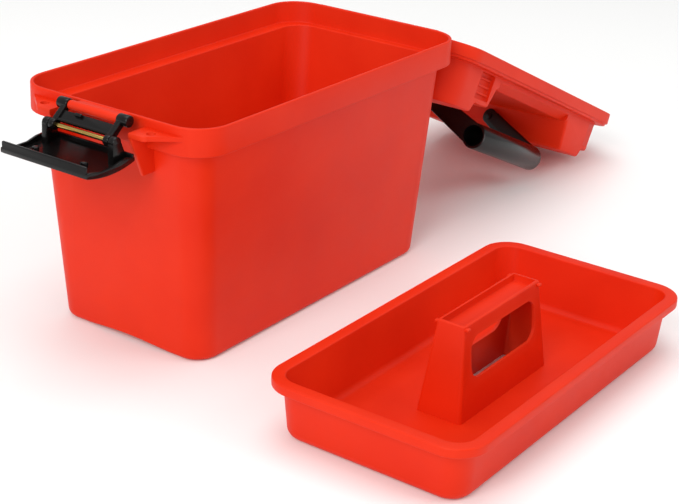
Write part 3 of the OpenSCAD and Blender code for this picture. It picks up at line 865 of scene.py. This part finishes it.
# %% Polished black ABS
def polished_abs():
    m = blank_material("polished_black_abs")
    place_on = add(m, "ShaderNodeTexCoord").outputs["Object"]
    cloud = add(m, "ShaderNodeTexNoise", Vector=place_on, Scale=per_mm(22), Detail=3.0)
    tint = add(m, "ShaderNodeValToRGB", Fac=cloud.outputs["Fac"])
    tint.color_ramp.elements[0].color, tint.color_ramp.elements[1].color = linear("#090808"), linear("#110F0F")
    hair = add(m, "ShaderNodeTexNoise", Vector=place_on, Scale=per_mm(1.5), Detail=5.0, Distortion=1.5)
    rough = add(m, "ShaderNodeMapRange", Value=hair.outputs["Fac"])
    rough.inputs["To Min"].default_value, rough.inputs["To Max"].default_value = 0.16, 0.30
    wave = add(m, "ShaderNodeBump", Height=cloud.outputs["Fac"], Strength=0.25, Distance=0.25 * MM)
    shader = add(m, "ShaderNodeBsdfPrincipled", Base_Color=tint.outputs["Color"],
                 Roughness=rough.outputs["Result"], IOR=1.54, Specular_IOR_Level=0.26, Normal=wave.outputs["Normal"])
    add(m, "ShaderNodeOutputMaterial", Surface=shader.outputs["BSDF"])
    return m


black = polished_abs()

# %% [markdown]
# The pins are drawn wire, cut to length: steel for the hinge and the barrel, brass for the lever's
# rod. Drawing leaves lines along the length, so the pattern is stretched along Y. The seal is a
# dull nitrile cord.

# %% Drawn metal and rubber
def drawn_wire(name, dark, light, roughness):
    m = blank_material(name)
    place_on = add(m, "ShaderNodeTexCoord").outputs["Object"]
    along = add(m, "ShaderNodeMapping", Vector=place_on, Scale=(1, 0.04, 1))
    lines = add(m, "ShaderNodeTexNoise", Vector=along.outputs["Vector"], Scale=per_mm(0.5), Detail=3.0)
    tint = add(m, "ShaderNodeValToRGB", Fac=lines.outputs["Fac"])
    tint.color_ramp.elements[0].color, tint.color_ramp.elements[1].color = linear(dark), linear(light)
    groove = add(m, "ShaderNodeBump", Height=lines.outputs["Fac"], Strength=0.2, Distance=0.03 * MM)
    shader = add(m, "ShaderNodeBsdfPrincipled", Base_Color=tint.outputs["Color"], Metallic=1.0,
                 Roughness=roughness, Normal=groove.outputs["Normal"])
    add(m, "ShaderNodeOutputMaterial", Surface=shader.outputs["BSDF"])
    return m


def nitrile():
    m = blank_material("moulded_nitrile_rubber")
    place_on = add(m, "ShaderNodeTexCoord").outputs["Object"]
    dust = add(m, "ShaderNodeTexNoise", Vector=place_on, Scale=per_mm(4), Detail=4.0)
    tint = add(m, "ShaderNodeValToRGB", Fac=dust.outputs["Fac"])
    tint.color_ramp.elements[0].color, tint.color_ramp.elements[1].color = linear("#1C1D1E"), linear("#2B2C2D")
    skin = add(m, "ShaderNodeBump", Height=dust.outputs["Fac"], Strength=0.2, Distance=0.1 * MM)
    shader = add(m, "ShaderNodeBsdfPrincipled", Base_Color=tint.outputs["Color"], Roughness=0.75, IOR=1.52,
                 Normal=skin.outputs["Normal"])
    add(m, "ShaderNodeOutputMaterial", Surface=shader.outputs["BSDF"])
    return m


steel = drawn_wire("drawn_steel_wire", "#8E9093", "#C9CBCD", 0.28)
brass = drawn_wire("drawn_brass_wire", "#A9822F", "#F0D080", 0.22)
rubber = nitrile()
print("materials:", [m.name for m in bpy.data.materials])

# %% [markdown]
# ## Put the pieces on the frame
# Each piece takes its material, rides on the body that moves it, and stands for the plain node
# that it was modelled over.

# %% Dress and fasten
dressing = [(box, red, "box", "red_shell", "box_body"),
            (lid, red, "lid", "red_shell", "lid"),
            (tray, red, "tray", "red_shell", "lift_out_tray"),
            (carry, black, "handle", "black_gloss", "carry_handle"),
            (link, black, "link", "black_gloss", "latch_link"),
            (lever, black, "lever", "black_gloss", "latch_lever"),
            (ring, rubber, "lid", "seal_rubber", "lid_seal"),
            (hinge_pin, steel, "box", "steel_pin", "lid_hinge_pin"),
            (barrel_pin, steel, "link", "steel_pin", "latch_barrel_pin"),
            (lever_rod, brass, "link", "brass_rod", "latch_lever_rod")]
for piece, material, body, slot, node in dressing:
    close_up(piece)
    piece.data.materials.clear()
    piece.data.materials.append(material)
    take(piece)
    bpy.ops.object.shade_smooth_by_angle(angle=math.radians(32))
    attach(piece, body)
    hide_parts(node)
    print(piece.name, len(piece.data.polygons), "faces")

# %% [markdown]
# ## Floor, light and camera
# The object stands on a pale floor under soft light: a broad panel over the near left for the
# shape, a weaker one from the right to open the shadows, and a bright even room.

# %% Floor
let_go()
bpy.ops.mesh.primitive_plane_add(size=12, location=(0, 0, -0.0002))
floor = bpy.context.object
floor.name = "floor"
floor_material = bpy.data.materials.new("pale_floor")
floor_material.use_nodes = True
paper = floor_material.node_tree.nodes["Principled BSDF"]
paper.inputs["Base Color"].default_value = linear("#FBFBFA")
paper.inputs["Roughness"].default_value = 0.8
floor.data.materials.append(floor_material)


# %% Light
def panel(name, at, towards, size, power):
    light = bpy.data.lights.new(name, "AREA")
    light.shape, light.size, light.energy = "SQUARE", size, power
    lamp = bpy.data.objects.new(name, light)
    lamp.location = at
    lamp.rotation_euler = (Vector(towards) - Vector(at)).to_track_quat("-Z", "Y").to_euler()
    bpy.context.collection.objects.link(lamp)


panel("key", (-2.5, -0.5, 1.7), (0, -0.1, 0.1), 1.6, 46)
panel("fill", (1.0, -2.6, 1.8), (0.1, -0.1, 0.1), 1.6, 19)
panel("top", (0.1, 0.2, 2.6), (0.1, -0.1, 0), 2.0, 26)
world = bpy.data.worlds.new("room")
bpy.context.scene.world = world
world.use_nodes = True
world.node_tree.nodes["Background"].inputs["Color"].default_value = linear("#FFFFFF")
world.node_tree.nodes["Background"].inputs["Strength"].default_value = 0.55

# %% Camera
heading, dip, roll = 55.31, 22.56, 2.57
camera_data = bpy.data.cameras.new("camera")
camera_data.sensor_width, camera_data.lens = 36, 86.4
camera_data.shift_x, camera_data.shift_y = 0.0060, -0.0263
camera_data.clip_end = 30
camera = bpy.data.objects.new("camera", camera_data)
camera.location = Vector((-1092.9, -852.7, 623.9)) * MM
forward_frame = Euler((math.radians(90 - dip), 0, math.radians(-heading)), "XYZ").to_matrix().to_4x4()
camera.rotation_euler = (forward_frame @ Matrix.Rotation(math.radians(roll), 4, "Z")).to_euler()
bpy.context.collection.objects.link(camera)
bpy.context.scene.camera = camera
bpy.context.scene.view_settings.view_transform = "Standard"
